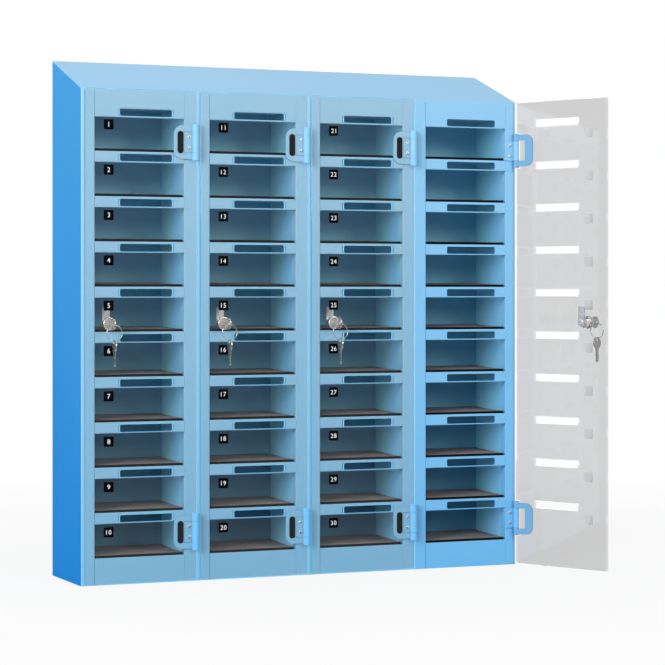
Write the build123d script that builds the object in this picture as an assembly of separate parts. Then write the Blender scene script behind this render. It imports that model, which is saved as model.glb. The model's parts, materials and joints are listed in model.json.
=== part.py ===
"""Cell phone locker: a four-column sheet-steel cabinet of lipped shelves with clear, slotted, keyed doors.

Row frame: +Z up, front towards -Y, origin at the centre of the cabinet's underside. Millimetres.
"""
from build123d import *
import os

os.makedirs("parts", exist_ok=True)

# ---- cabinet: driving dimensions ----
COLUMNS = 4
ROWS = 10
PITCH = 216.0  # width of one column
DEPTH = 176.0
TOP_RISE = 63.0  # how much higher the back is than the front
SHEET = 1.2  # steel sheet
PLINTH = 48.0  # floor of the lowest compartment
ROW_PITCH = 80.0
OPENING_H = 60.2
STRIP = 2.1  # steel left between a posting slot and the opening below it
SLOT_H = 13.5
SLOT_R = 3.0
HEADER = 34.2  # steel above the top slot
STILE_LEFT = 24.4
STILE_RIGHT = 24.0
SLOT_START = 68.4  # from the column's left boundary
SLOT_MARGIN = 46.6  # from the slot's right end to the column's right boundary
CELL_DEPTH = 124.0  # front face to the compartment's back wall
BEND_INSIDE = 0.3  # inside radius of an ordinary bend
SEAM_INSIDE = 0.4  # inside radius where two columns meet
LEFT_CORNER = 4.0  # outside radius of the cabinet's front corners
RIGHT_CORNER = 10.0
SEAM_FLANGE = 20.0  # depth of the joined flanges between two columns
JOINT_GAP = 0.02  # fit between a rail's end and its stile
HEM = 8.0  # inward return below each slot
CAP_LIP = 5.0  # down-turned edge of the sloping top
CAP_EDGE_R = 2.0
TRAY_FLANGE = 15.0
INNER_BACK_BOTTOM = 30.0
INNER_BACK_MARGIN = 20.0  # inner back above the top compartments
FIXING_R = 3.3  # holes for M6 in the back panel
FIXING_X = 700.0
FIXING_Z = 650.0
FIXING_MID_Z = 475.0

# ---- mats ----
MAT_T = 4.0
MAT_LEFT_GAP = 1.8
MAT_RIGHT_GAP = 2.8
MAT_SETBACK = 2.5
MAT_BACK_GAP = 2.0
MAT_CORNER = 1.5

# ---- doors ----
DOOR_T = 7.0
DOOR_SIDE_GAP = 1.2  # a door's left edge to the barrels of the column beside it
DOOR_MARGIN = 2.7  # a door's right edge to the column's right boundary
DOOR_BOTTOM = 2.0
DOOR_TOP_GAP = 0.0
DOOR_CORNER = 4.0
DOOR_CHAMFER = 0.4
OPEN_ANGLE = 115.0  # the last column's door stands open
OPEN_COLUMN = COLUMNS - 1

# ---- hinges: a small cabinet leaf nests in the window of a door leaf ----
HINGE_AXIS_IN = 3.4  # from the column's right boundary
KNUCKLE_R = 6.2
KNUCKLE_BACK = 0.3  # barrel to the steel behind it
HINGE_FROM_TOP = 91.3
HINGE_FROM_BASE = 88.7
PIN_R = 2.48
PIN_FIT = 0.02  # cabinet knuckle on its pin
PIN_RUNNING = 0.07  # door knuckle on the pin
PIN_END = 0.5
LEAF_T = 2.5
LEAF_H = 37.0
LEAF_WRAP = 10.0  # leg that turns round the stile's edge
KNUCKLE_GAP = 0.3
DOOR_KNUCKLE = 13.5
DOOR_LEAF_H = 60.0
DOOR_LEAF_REACH = 41.3
DOOR_LEAF_BACK = 0.7  # door leaf to the steel behind it
DOOR_LEAF_R = 15.5
WINDOW_GAP = 0.6
WINDOW_R = 1.6
PAD_T = 0.8
PAD_W = 11.0
PAD_H = 40.0
PAD_ROUND = 0.49  # corner radius as a share of the pad's width
NOTCH_GAP = 0.8  # door sheet around a barrel
SCREW_PITCH = 19.3
SCREW_IN = 15.7  # from the column's right boundary
SCREW_R = 1.7
SCREW_HEAD_R = 2.9
SCREW_HEAD_T = 1.1
SCREW_DOME = 0.7  # share of the head's height that its rounded edge takes
SCREW_LENGTH = 9.0
HOLE_GAP = 0.1
DRIVE_LENGTH = 3.2
DRIVE_WIDTH = 0.7
DRIVE_DEPTH = 0.6

# ---- number labels ----
LABEL = 18.0
LABEL_T = 0.5
LABEL_X = 47.3
LABEL_DROP = 13.8  # label centre below the opening's top
LABEL_R = 2.0

# ---- cam locks and keys ----
LOCK_X = 48.5
LOCK_ROW = 4
LOCK_ABOVE_SHELF = 14.0
PLUG_R = 6.0
PLUG_RUNNING = 0.05
PLUG_PROUD = 0.2
BARREL_WALL = 2.0
FLAT_WALL = 1.0  # barrel wall at its two flats
BARREL_REACH = 15.0  # behind the door's inner face
FLANGE_RIM = 3.5  # flange beyond the barrel
FLANGE_T = 3.2
COLLAR_STEP = 1.5  # collar beyond the plug
COLLAR_T = 1.5
KEYWAY_SIDE = 0.15
KEYWAY_EDGE = 0.4
KEYWAY_END = 1.0
NUT_WALL = 2.0
NUT_T = 3.8
NUT_FIT = 0.02
CAM_T = 2.0
CAM_W = 14.0
CAM_CORNER = 3.0
CAM_REACH = 29.5
CAM_GAP = 0.1
CAM_HUB_STEP = 0.5  # hub inside the barrel's outline
TAIL_SHARE = 4 / 3  # the square tail's side, against the plug's radius
TAIL_FIT = 0.05
CAM_SCREW_R = 2.0
CAM_SCREW_HEAD_R = 5.2
CAM_SCREW_HEAD_T = 2.4
CAM_SCREW_LENGTH = 5.5
CAM_PORT_BELOW = 2.5  # room round the cam in its port in the compartment's left wall
CAM_PORT_ABOVE = 3.5  # the cam's tip passes the wall this far short of its reach
CAM_PORT_FRONT = 4.1
CAM_PORT_BACK = 1.5
KEY_T = 1.9
KEY_LENGTH = 47.0
BOW_R = 11.0
BOW_HOLE_R = 3.0
BOW_HOLE_IN = 4.5  # hole centre from the bow's end
BLADE_W = 7.6
BLADE_TIP = 2.4
SHOULDER_W = 10.5
SHOULDER_L = 3.0
CUTS = (1.6, 2.4, 1.2, 2.0)  # depths of the cuts along the blade
CUT_START = 5.5  # first cut from the tip
CUT_STEP = 4.2
KEY_DEPTH = 16.3  # blade inside the lock, from the flange's face
RING_R = 14.0
RING_WIRE_R = 0.8
RING_PLAY = 0.15

# ---- worked out ----
WIDTH = COLUMNS * PITCH
LEFT = -WIDTH / 2
RIGHT = WIDTH / 2
FRONT = -DEPTH / 2
BACK = DEPTH / 2
CELL_BACK = FRONT + CELL_DEPTH
BEND = SHEET + BEND_INSIDE
SEAM_BEND = SHEET + SEAM_INSIDE
TOP_OPENING_TOP = PLINTH + (ROWS - 1) * ROW_PITCH + OPENING_H
FRONT_H = TOP_OPENING_TOP + STRIP + SLOT_H + HEADER
DOOR_LEFT = KNUCKLE_R - HINGE_AXIS_IN + DOOR_SIDE_GAP
DOOR_RIGHT = PITCH - DOOR_MARGIN
DOOR_INNER = FRONT - DOOR_LEAF_BACK - LEAF_T - PAD_T
DOOR_OUTER = DOOR_INNER - DOOR_T
DOOR_TOP = FRONT_H - DOOR_TOP_GAP
HINGE_Y = FRONT - KNUCKLE_R - KNUCKLE_BACK
HINGE_ZS = (FRONT_H - HINGE_FROM_TOP, HINGE_FROM_BASE)
CEILING = PLINTH + ROWS * ROW_PITCH
LOCK_Z = PLINTH + (ROWS - 1 - LOCK_ROW) * ROW_PITCH + LOCK_ABOVE_SHELF
FLANGE_FACE = DOOR_OUTER - FLANGE_T
BARREL_R = PLUG_R + BARREL_WALL
BARREL_END = DOOR_INNER + BARREL_REACH
COLLAR_R = PLUG_R + COLLAR_STEP
TAIL = PLUG_R * TAIL_SHARE
CAM_FRONT = BARREL_END + CAM_GAP
CAM_BACK = CAM_FRONT + CAM_T
BOW_END_Y = FLANGE_FACE + KEY_DEPTH - KEY_LENGTH
BOW_HOLE_Y = BOW_END_Y + BOW_HOLE_IN
RING_TOP_Z = LOCK_Z - BOW_HOLE_R + RING_WIRE_R + RING_PLAY
OVERSHOOT = 50.0  # how far the largest cutting shapes pass the cabinet


def block(x0, x1, y0, y1, z0, z1):
    """A rectangular block between two corners."""
    size = Box(x1 - x0, y1 - y0, z1 - z0)
    return Pos((x0 + x1) / 2, (y0 + y1) / 2, (z0 + z1) / 2) * size


def rod(x, z, radius, y0, y1):
    """A round bar along Y."""
    return Pos(x, (y0 + y1) / 2, z) * Rot(90, 0, 0) * Cylinder(radius, abs(y1 - y0))


def post(x, y, radius, z0, z1):
    """A round bar along Z."""
    return Pos(x, y, (z0 + z1) / 2) * Cylinder(radius, z1 - z0)


def stadium_cut(x0, x1, z0, z1, radius, y0, y1):
    """A rounded rectangular bar along Y, for cutting windows through sheets."""
    outline = RectangleRounded(x1 - x0, z1 - z0, radius)
    place = Plane(origin=((x0 + x1) / 2, y1, (z0 + z1) / 2), x_dir=(1, 0, 0), z_dir=(0, -1, 0))
    return extrude(place * outline, y1 - y0)


def folded_sheet(points, radii, side):
    """The flat outline of a sheet folded along points, which lie on its outer face."""
    path = FilletPolyline(*points, radius=radii)
    return make_face(offset(path, SHEET, side=side).edges())


def column_left(column):
    """X of a column's left boundary."""
    return LEFT + column * PITCH


def floor_z(row):
    """Z of a compartment's floor; row 0 is the top one."""
    return PLINTH + (ROWS - 1 - row) * ROW_PITCH


def opening_top(row):
    """Z of the top of a compartment's opening."""
    return floor_z(row) + OPENING_H


def posting_slot(column, row, y0, y1):
    """The bar that cuts the posting slot above a compartment's opening."""
    x0 = column_left(column) + SLOT_START
    x1 = column_left(column + 1) - SLOT_MARGIN
    low = opening_top(row) + STRIP
    return stadium_cut(x0, x1, low, low + SLOT_H, SLOT_R, y0, y1)


def slope_z(y, drop):
    """Height of the sloping top at y, lowered by drop."""
    return FRONT_H + TOP_RISE * (y - FRONT) / DEPTH - drop


def below_slope(drop):
    """Everything in the cabinet's depth that lies below the sloping top, lowered by drop."""
    y0 = FRONT - OVERSHOOT
    y1 = BACK + OVERSHOOT
    corners = [(y0, -OVERSHOOT), (y1, -OVERSHOOT), (y1, slope_z(y1, drop)), (y0, slope_z(y0, drop))]
    outline = Plane.YZ * make_face(Polyline(*corners, close=True))
    return Pos(LEFT - OVERSHOOT, 0, 0) * extrude(outline, WIDTH + 2 * OVERSHOOT)


def footprint(inset):
    """The cabinet's plan outline with its rounded front corners, as a tall prism."""
    left_r = LEFT_CORNER - inset
    right_r = RIGHT_CORNER - inset
    corners = [
        (LEFT + inset, BACK - inset),
        (LEFT + inset, FRONT + inset),
        (RIGHT - inset, FRONT + inset),
        (RIGHT - inset, BACK - inset),
    ]
    path = FilletPolyline(*corners, radius=[left_r, right_r])
    back = Line(corners[-1], corners[0])
    return extrude(make_face(path.edges() + back.edges()), FRONT_H + 2 * TOP_RISE)


def side_channel(column, hand):
    """A column's stile with its compartment wall and outer side, folded from one sheet; hand is -1 or 1."""
    if hand < 0:
        outer = column_left(column)
        inner = outer + STILE_LEFT
    else:
        outer = column_left(column + 1)
        inner = outer - STILE_RIGHT
    at_end = column == 0 if hand < 0 else column == COLUMNS - 1
    corner = SEAM_BEND
    outer_back = FRONT + SEAM_FLANGE
    if at_end:
        corner = LEFT_CORNER if hand < 0 else RIGHT_CORNER
        outer_back = BACK
    points = [(outer, outer_back), (outer, FRONT), (inner, FRONT), (inner, CELL_BACK)]
    side = Side.LEFT if hand < 0 else Side.RIGHT
    channel = extrude(folded_sheet(points, [corner, BEND], side), FRONT_H + TOP_RISE)
    channel = channel & below_slope(CAP_LIP)
    return channel - block(LEFT + SHEET, RIGHT - SHEET, FRONT + SHEET, BACK, -SHEET, SHEET)


def screw_places(column):
    """X and Z of each hinge screw on a column's right stile."""
    x = column_left(column + 1) - SCREW_IN
    return [(x, z + step * SCREW_PITCH / 2) for z in HINGE_ZS for step in (-1, 1)]


def left_channel(column):
    """A left stile and wall, with the port that the lock's cam turns into."""
    wall_x = column_left(column) + STILE_LEFT
    port = block(
        wall_x - 2 * SHEET,
        wall_x + SHEET,
        CAM_FRONT - CAM_PORT_FRONT,
        CAM_BACK + CAM_SCREW_HEAD_T + CAM_PORT_BACK,
        LOCK_Z - CAM_W / 2 - CAM_PORT_BELOW,
        LOCK_Z + CAM_REACH - CAM_PORT_ABOVE,
    )
    return side_channel(column, -1) - port


def right_channel(column):
    """A right stile and wall, drilled for the hinge screws."""
    channel = side_channel(column, 1)
    for x, z in screw_places(column):
        channel = channel - rod(x, z, SCREW_R + HOLE_GAP, FRONT - SHEET, FRONT + 2 * SHEET)
    return channel


def make_sloping_top():
    """The cap: a sloping sheet with a short lip turned down all round."""
    outer = footprint(0) & below_slope(0)
    top_face = outer.faces().sort_by(Axis.Z)[-1]
    rims = top_face.edges().sort_by(Axis.Y)[:-1]
    outer = fillet(rims, CAP_EDGE_R) - below_slope(CAP_LIP)
    return outer - (footprint(SHEET) & below_slope(SHEET))


def make_back_panel():
    """The outer back, flanged against the side panels and drilled for four M6 fixings."""
    x0 = LEFT + SHEET
    x1 = RIGHT - SHEET
    panel = block(x0, x1, BACK - SHEET, BACK, 0, FRONT_H + TOP_RISE)
    for x in (x0, x1 - SHEET):
        panel = panel + block(x, x + SHEET, BACK - TRAY_FLANGE, BACK, 2 * SHEET, FRONT_H + TOP_RISE)
    panel = panel & below_slope(CAP_LIP)
    for x in (-FIXING_X / 2, FIXING_X / 2):
        for z in (FIXING_MID_Z - FIXING_Z / 2, FIXING_MID_Z + FIXING_Z / 2):
            panel = panel - rod(x, z, FIXING_R, BACK - 2 * SHEET, BACK + SHEET)
    return panel


def make_inner_back():
    """The one sheet that closes the backs of all the compartments."""
    margin = STILE_LEFT - SHEET
    return block(
        LEFT + margin,
        RIGHT - margin,
        CELL_BACK,
        CELL_BACK + SHEET,
        INNER_BACK_BOTTOM,
        CEILING + INNER_BACK_MARGIN,
    )


def make_base_tray():
    """The bottom sheet, with flanges turned up behind the plinths and at the back."""
    x0 = LEFT + SHEET
    x1 = RIGHT - SHEET
    y1 = BACK - SHEET
    tray = block(x0, x1, FRONT + SHEET, y1, 0, SHEET)
    return tray + block(x0 + SHEET, x1 - SHEET, y1 - SHEET, y1, 0, TRAY_FLANGE)


def rail_span(column):
    """The X limits of a rail, shelf or plinth between a column's stiles."""
    x = column_left(column)
    return x + STILE_LEFT + JOINT_GAP, x + PITCH - STILE_RIGHT - JOINT_GAP


def extrude_profile(points, radii, column):
    """A sheet folded in the YZ plane and run between a column's stiles."""
    x0, x1 = rail_span(column)
    outline = Plane.YZ * folded_sheet(points, radii, Side.RIGHT)
    return Pos(x0, 0, 0) * extrude(outline, x1 - x0)


def make_header(column):
    """The steel above a column's top opening, with its posting slot and a hem below it."""
    low = opening_top(0)
    points = [(FRONT + HEM, low), (FRONT, low), (FRONT, FRONT_H)]
    header = extrude_profile(points, [BEND], column) & below_slope(CAP_LIP)
    return header - posting_slot(column, 0, FRONT - SHEET, FRONT + 2 * SHEET)


def make_plinth(column):
    """The plinth front and the floor of a column's lowest compartment, folded from one sheet."""
    points = [(FRONT, 0), (FRONT, PLINTH), (CELL_BACK, PLINTH)]
    return extrude_profile(points, [BEND], column)


def make_shelf(column, row):
    """The shelf under a compartment: its front lip holds the next compartment's posting slot."""
    low = opening_top(row + 1)
    high = floor_z(row)
    points = [(FRONT + HEM, low), (FRONT, low), (FRONT, high), (CELL_BACK, high)]
    shelf = extrude_profile(points, [BEND, BEND], column)
    return shelf - posting_slot(column, row + 1, FRONT - SHEET, FRONT + 2 * SHEET)


def make_ceiling(column):
    """The plain plate over a column's top compartment."""
    x0, x1 = rail_span(column)
    return block(x0, x1, FRONT + 2 * SHEET, CELL_BACK, CEILING - SHEET, CEILING)


def make_mat(column, row):
    """The mat on a compartment's floor."""
    x = column_left(column)
    low = floor_z(row)
    mat = block(
        x + STILE_LEFT + MAT_LEFT_GAP,
        x + PITCH - STILE_RIGHT - MAT_RIGHT_GAP,
        FRONT + MAT_SETBACK,
        CELL_BACK - MAT_BACK_GAP,
        low,
        low + MAT_T,
    )
    return fillet(mat.edges().filter_by(Axis.Z), MAT_CORNER)


def make_cabinet_leaf(column, z):
    """The cabinet leaf: it turns round the stile's edge and carries the barrel's middle knuckle."""
    edge = column_left(column + 1) - STILE_RIGHT
    axis_x = column_left(column + 1) - HINGE_AXIS_IN
    low = z - LEAF_H / 2
    high = z + LEAF_H / 2
    leaf = block(edge - LEAF_T, axis_x, FRONT - LEAF_T, FRONT, low, high)
    leaf = leaf + block(edge - LEAF_T, edge, FRONT - LEAF_T, FRONT + LEAF_WRAP, low, high)
    leaf = leaf + post(axis_x, HINGE_Y, KNUCKLE_R, low, high)
    leaf = leaf - post(axis_x, HINGE_Y, PIN_R + PIN_FIT, low - SHEET, high + SHEET)
    for x, hole_z in screw_places(column):
        if abs(hole_z - z) < LEAF_H / 2:
            leaf = leaf - rod(x, hole_z, SCREW_R + HOLE_GAP, FRONT - 2 * LEAF_T, FRONT + SHEET)
    return leaf


def make_hinge_screw(x, z):
    """A pan-head screw with a cross recess."""
    seat = FRONT - LEAF_T
    head = rod(x, z, SCREW_HEAD_R, seat - SCREW_HEAD_T, seat)
    rim = head.edges().filter_by(GeomType.CIRCLE).sort_by(Axis.Y)[0]
    screw = fillet(rim, SCREW_HEAD_T * SCREW_DOME) + rod(x, z, SCREW_R, seat, seat + SCREW_LENGTH)
    front = seat - SCREW_HEAD_T
    half = DRIVE_LENGTH / 2
    width = DRIVE_WIDTH / 2
    for wide, tall in ((half, width), (width, half)):
        screw = screw - block(x - wide, x + wide, front, front + DRIVE_DEPTH, z - tall, z + tall)
    return screw


def knuckle_reach():
    """Half the length of a whole hinge barrel."""
    return LEAF_H / 2 + KNUCKLE_GAP + DOOR_KNUCKLE


def make_hinge_pin(column, z):
    """The pin through one barrel."""
    reach = knuckle_reach() + PIN_END
    pin = post(column_left(column + 1) - HINGE_AXIS_IN, HINGE_Y, PIN_R, z - reach, z + reach)
    return chamfer(pin.edges().filter_by(GeomType.CIRCLE), PIN_END / 2)


def leaf_window_left(column):
    """X of the left edge of the window in a door leaf."""
    return column_left(column + 1) - STILE_RIGHT - LEAF_T - WINDOW_GAP


def make_door_leaf(column, z):
    """The D-shaped door leaf: a window for the cabinet leaf, and a knuckle at each end."""
    axis_x = column_left(column + 1) - HINGE_AXIS_IN
    back = FRONT - DOOR_LEAF_BACK
    front = back - LEAF_T
    half = DOOR_LEAF_H / 2
    leaf = block(axis_x - DOOR_LEAF_REACH, axis_x, front, back, z - half, z + half)
    corners = leaf.edges().filter_by(Axis.Y).sort_by(Axis.X)[:2]
    leaf = fillet(corners, DOOR_LEAF_R)
    window_half = LEAF_H / 2 + WINDOW_GAP
    window = stadium_cut(
        leaf_window_left(column),
        axis_x + 2 * KNUCKLE_R,
        z - window_half,
        z + window_half,
        WINDOW_R,
        front - SHEET,
        back + SHEET,
    )
    leaf = leaf - window
    start = LEAF_H / 2 + KNUCKLE_GAP
    for low, high in ((z - knuckle_reach(), z - start), (z + start, z + knuckle_reach())):
        leaf = leaf + post(axis_x, HINGE_Y, KNUCKLE_R, low, high)
    return leaf - post(axis_x, HINGE_Y, PIN_R + PIN_RUNNING, z - 2 * half, z + 2 * half)


def make_hinge_pad(column, z):
    """The foam tape between a door leaf and the door."""
    window_left = leaf_window_left(column)
    return stadium_cut(
        window_left - PAD_W,
        window_left,
        z - PAD_H / 2,
        z + PAD_H / 2,
        PAD_W * PAD_ROUND,
        DOOR_INNER,
        DOOR_INNER + PAD_T,
    )


def make_door_panel(column):
    """The clear door sheet with its posting slots, lock hole and hinge notches."""
    x = column_left(column)
    axis_x = x + PITCH - HINGE_AXIS_IN
    panel = block(x + DOOR_LEFT, x + DOOR_RIGHT, DOOR_OUTER, DOOR_INNER, DOOR_BOTTOM, DOOR_TOP)
    panel = fillet(panel.edges().filter_by(Axis.Y), DOOR_CORNER)
    notch_reach = knuckle_reach() + PIN_END + KNUCKLE_GAP
    for z in HINGE_ZS:
        panel = panel - block(
            axis_x - KNUCKLE_R - NOTCH_GAP,
            axis_x + PITCH / 2,
            DOOR_OUTER - SHEET,
            DOOR_INNER + SHEET,
            z - notch_reach,
            z + notch_reach,
        )
    for row in range(ROWS):
        panel = panel - posting_slot(column, row, DOOR_OUTER - SHEET, DOOR_INNER + SHEET)
    hole = lock_barrel(x + LOCK_X, HOLE_GAP, DOOR_OUTER - SHEET, DOOR_INNER + SHEET)
    panel = panel - hole
    rims = [edge for edge in panel.edges() if edge_is_on_face(edge)]
    return chamfer(rims, DOOR_CHAMFER)


def edge_is_on_face(edge):
    """True for an edge that lies in the door's inner or outer face."""
    low = edge.bounding_box().min.Y
    high = edge.bounding_box().max.Y
    return high - low < DOOR_CHAMFER / 4


def make_label(column, row):
    """One number label on the door's outer face."""
    x = column_left(column) + LABEL_X
    z = opening_top(row) - LABEL_DROP
    half = LABEL / 2
    return stadium_cut(x - half, x + half, z - half, z + half, LABEL_R, DOOR_OUTER - LABEL_T, DOOR_OUTER)


def lock_barrel(x, grow, y0, y1):
    """A lock's round barrel with a flat at each side."""
    flat = PLUG_R + FLAT_WALL + grow
    reach = BARREL_R + grow
    barrel = rod(x, LOCK_Z, reach, y0, y1)
    return barrel & block(x - flat, x + flat, y0, y1, LOCK_Z - reach, LOCK_Z + reach)


def make_lock_housing(x):
    """The flange and barrel, bored for the plug."""
    flange = rod(x, LOCK_Z, BARREL_R + FLANGE_RIM, FLANGE_FACE, DOOR_OUTER)
    rim = flange.edges().filter_by(GeomType.CIRCLE).sort_by(Axis.Y)[0]
    housing = fillet(rim, FLANGE_T / 3) + lock_barrel(x, 0, DOOR_OUTER, BARREL_END)
    housing = housing - rod(x, LOCK_Z, PLUG_R + PLUG_RUNNING, FLANGE_FACE - SHEET, BARREL_END + SHEET)
    return housing - rod(x, LOCK_Z, COLLAR_R + PLUG_RUNNING, FLANGE_FACE, FLANGE_FACE + COLLAR_T)


def make_lock_nut(x):
    """The hexagon nut that clamps the lock to the door."""
    outline = RegularPolygon(BARREL_R + NUT_WALL, 6, major_radius=False)
    face = Plane(origin=(x, DOOR_INNER, LOCK_Z), x_dir=(1, 0, 0), z_dir=(0, 1, 0)) * outline
    return extrude(face, NUT_T) - lock_barrel(x, NUT_FIT, DOOR_INNER - SHEET, DOOR_INNER + NUT_T + SHEET)


def make_lock_plug(x):
    """The turning plug: a front collar, the keyway and a square tail for the cam."""
    front = FLANGE_FACE - PLUG_PROUD
    plug = rod(x, LOCK_Z, PLUG_R, front, BARREL_END)
    plug = plug + rod(x, LOCK_Z, COLLAR_R, front, FLANGE_FACE + COLLAR_T - PLUG_RUNNING)
    half = TAIL / 2
    plug = plug + block(x - half, x + half, BARREL_END, CAM_BACK, LOCK_Z - half, LOCK_Z + half)
    key_end = FLANGE_FACE + KEY_DEPTH + KEYWAY_END
    wide = KEY_T / 2 + KEYWAY_SIDE
    tall = BLADE_W / 2 + KEYWAY_EDGE
    plug = plug - block(x - wide, x + wide, front, key_end, LOCK_Z - tall, LOCK_Z + tall)
    return plug - rod(x, LOCK_Z, CAM_SCREW_R + PIN_FIT, CAM_BACK - CAM_SCREW_LENGTH - SHEET, CAM_BACK)


def make_lock_cam(x):
    """The cam, pointing up while the lock is undone."""
    half = CAM_W / 2
    top = LOCK_Z + CAM_REACH
    arm = stadium_cut(x - half, x + half, LOCK_Z - half, top, CAM_CORNER, CAM_FRONT, CAM_BACK)
    cam = arm + rod(x, LOCK_Z, BARREL_R - CAM_HUB_STEP, CAM_FRONT, CAM_BACK)
    hole = TAIL / 2 + TAIL_FIT
    y0 = CAM_FRONT - SHEET
    y1 = CAM_BACK + SHEET
    return cam - block(x - hole, x + hole, y0, y1, LOCK_Z - hole, LOCK_Z + hole)


def make_cam_screw(x):
    """The slotted screw that holds the cam on the plug's tail."""
    end = CAM_BACK + CAM_SCREW_HEAD_T
    head = rod(x, LOCK_Z, CAM_SCREW_HEAD_R, CAM_BACK, end)
    rim = head.edges().filter_by(GeomType.CIRCLE).sort_by(Axis.Y)[-1]
    shank = rod(x, LOCK_Z, CAM_SCREW_R, CAM_BACK - CAM_SCREW_LENGTH, CAM_BACK)
    screw = fillet(rim, CAM_SCREW_HEAD_T / 2) + shank
    wide = DRIVE_LENGTH
    tall = DRIVE_WIDTH
    return screw - block(x - wide, x + wide, end - DRIVE_DEPTH, end, LOCK_Z - tall, LOCK_Z + tall)


def key_shape():
    """A key lying in the XY plane: its ring hole at the origin, its blade along +X."""
    bow_x = BOW_R - BOW_HOLE_IN
    tip_x = KEY_LENGTH - BOW_HOLE_IN
    shoulder_x = bow_x + BOW_R + SHOULDER_L / 2
    outline = Pos(bow_x, 0) * Circle(BOW_R)
    outline = outline + Pos(shoulder_x - SHOULDER_L, 0) * Rectangle(2 * SHOULDER_L, SHOULDER_W)
    half = BLADE_W / 2
    blade = Polyline(
        (bow_x, -half),
        (tip_x - BLADE_TIP, -half),
        (tip_x, -half + BLADE_TIP),
        (tip_x, half - BLADE_TIP),
        (tip_x - BLADE_TIP, half),
        (bow_x, half),
        close=True,
    )
    outline = outline + make_face(blade)
    for step, cut in enumerate(CUTS):
        notch_x = tip_x - CUT_START - step * CUT_STEP
        tooth = Polyline((notch_x - cut, half), (notch_x, half - cut), (notch_x + cut, half), close=True)
        outline = outline - make_face(tooth)
    outline = outline - Circle(BOW_HOLE_R)
    return extrude(outline, KEY_T / 2, both=True)


def make_key(x):
    """The key in the lock, its flat sides facing left and right."""
    place = Plane(origin=(x, BOW_HOLE_Y, LOCK_Z), x_dir=(0, 1, 0), z_dir=(-1, 0, 0))
    return place.location * key_shape()


def make_spare_key(x):
    """The second key, hanging from the bottom of the ring."""
    hole_z = RING_TOP_Z - 2 * RING_R + RING_WIRE_R + RING_PLAY - BOW_HOLE_R
    place = Plane(origin=(x, BOW_HOLE_Y, hole_z), x_dir=(0, 0, -1), z_dir=(1, 0, 0))
    return place.location * key_shape()


def make_ring(x):
    """The key ring, through the hole of the key in the lock."""
    return Pos(x, BOW_HOLE_Y, RING_TOP_Z - RING_R) * Rot(90, 0, 0) * Torus(RING_R, RING_WIRE_R)


def hang(column, shapes):
    """Swings a door's pieces open on the column whose door stands open."""
    if column != OPEN_COLUMN:
        return shapes
    x = column_left(column + 1) - HINGE_AXIS_IN
    swing = Pos(x, HINGE_Y, 0) * Rot(0, 0, OPEN_ANGLE) * Pos(-x, -HINGE_Y, 0)
    return [swing * shape for shape in shapes]


def save(name, shapes):
    """Writes one sub-part; each of its pieces stays a separate solid."""
    solids = [solid for shape in shapes for solid in shape.solids()]
    item = solids[0] if len(solids) == 1 else Compound(children=solids)
    item.label = name
    export_step(item, f"parts/{name}.step")


def save_cabinet():
    """Writes the fixed steelwork, the mats and the cabinet's share of the hinges."""
    save("left_side_panel", [left_channel(0)])
    save("right_side_panel", [right_channel(COLUMNS - 1)])
    inner = range(COLUMNS - 1)
    dividers = [right_channel(column) for column in inner] + [left_channel(column + 1) for column in inner]
    save("dividers", dividers)
    save("sloping_top", [make_sloping_top()])
    save("back_panel", [make_back_panel()])
    save("inner_back_panel", [make_inner_back()])
    save("base_tray", [make_base_tray()])
    every = range(COLUMNS)
    save("header_panels", [make_header(column) for column in every])
    save("plinth_panels", [make_plinth(column) for column in every])
    for column in every:
        shelves = [make_shelf(column, row) for row in range(ROWS - 1)]
        save(f"shelves_{column + 1}", [make_ceiling(column)] + shelves)
        save(f"mats_{column + 1}", [make_mat(column, row) for row in range(ROWS)])
    hinges = [(column, z) for column in every for z in HINGE_ZS]
    save("cabinet_hinge_leaves", [make_cabinet_leaf(column, z) for column, z in hinges])
    save("hinge_pins", [make_hinge_pin(column, z) for column, z in hinges])
    screws = [place for column in every for place in screw_places(column)]
    save("hinge_screws", [make_hinge_screw(x, z) for x, z in screws])


def save_door(column):
    """Writes one door with its hinge leaves, labels, lock and keys."""
    number = column + 1
    x = column_left(column) + LOCK_X
    pieces = {
        "door_panel": [make_door_panel(column)],
        "door_hinge_leaves": [make_door_leaf(column, z) for z in HINGE_ZS],
        "hinge_pads": [make_hinge_pad(column, z) for z in HINGE_ZS],
        "number_labels": [make_label(column, row) for row in range(ROWS)],
        "lock_body": [make_lock_housing(x), make_lock_nut(x)],
        "lock_plug": [make_lock_plug(x)],
        "lock_cam": [make_lock_cam(x), make_cam_screw(x)],
        "key": [make_key(x)],
        "key_ring": [make_ring(x)],
        "spare_key": [make_spare_key(x)],
    }
    for name, shapes in pieces.items():
        save(f"{name}_{number}", hang(column, shapes))


save_cabinet()
for door_column in range(COLUMNS):
    save_door(door_column)
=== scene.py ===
"""Cell phone locker: finishes, lettering, key rings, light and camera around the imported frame.

The frame gives every construction piece at its real place. This script dresses those pieces, makes
finer ones in place of the mats, the labels and the key rings, and adds the numerals.
"""

import json
import logging
import math
from abc import ABC, abstractmethod
from collections.abc import Iterable
from dataclasses import dataclass
from enum import Enum

import bmesh
import bpy
from mathutils import Matrix, Vector


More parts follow.
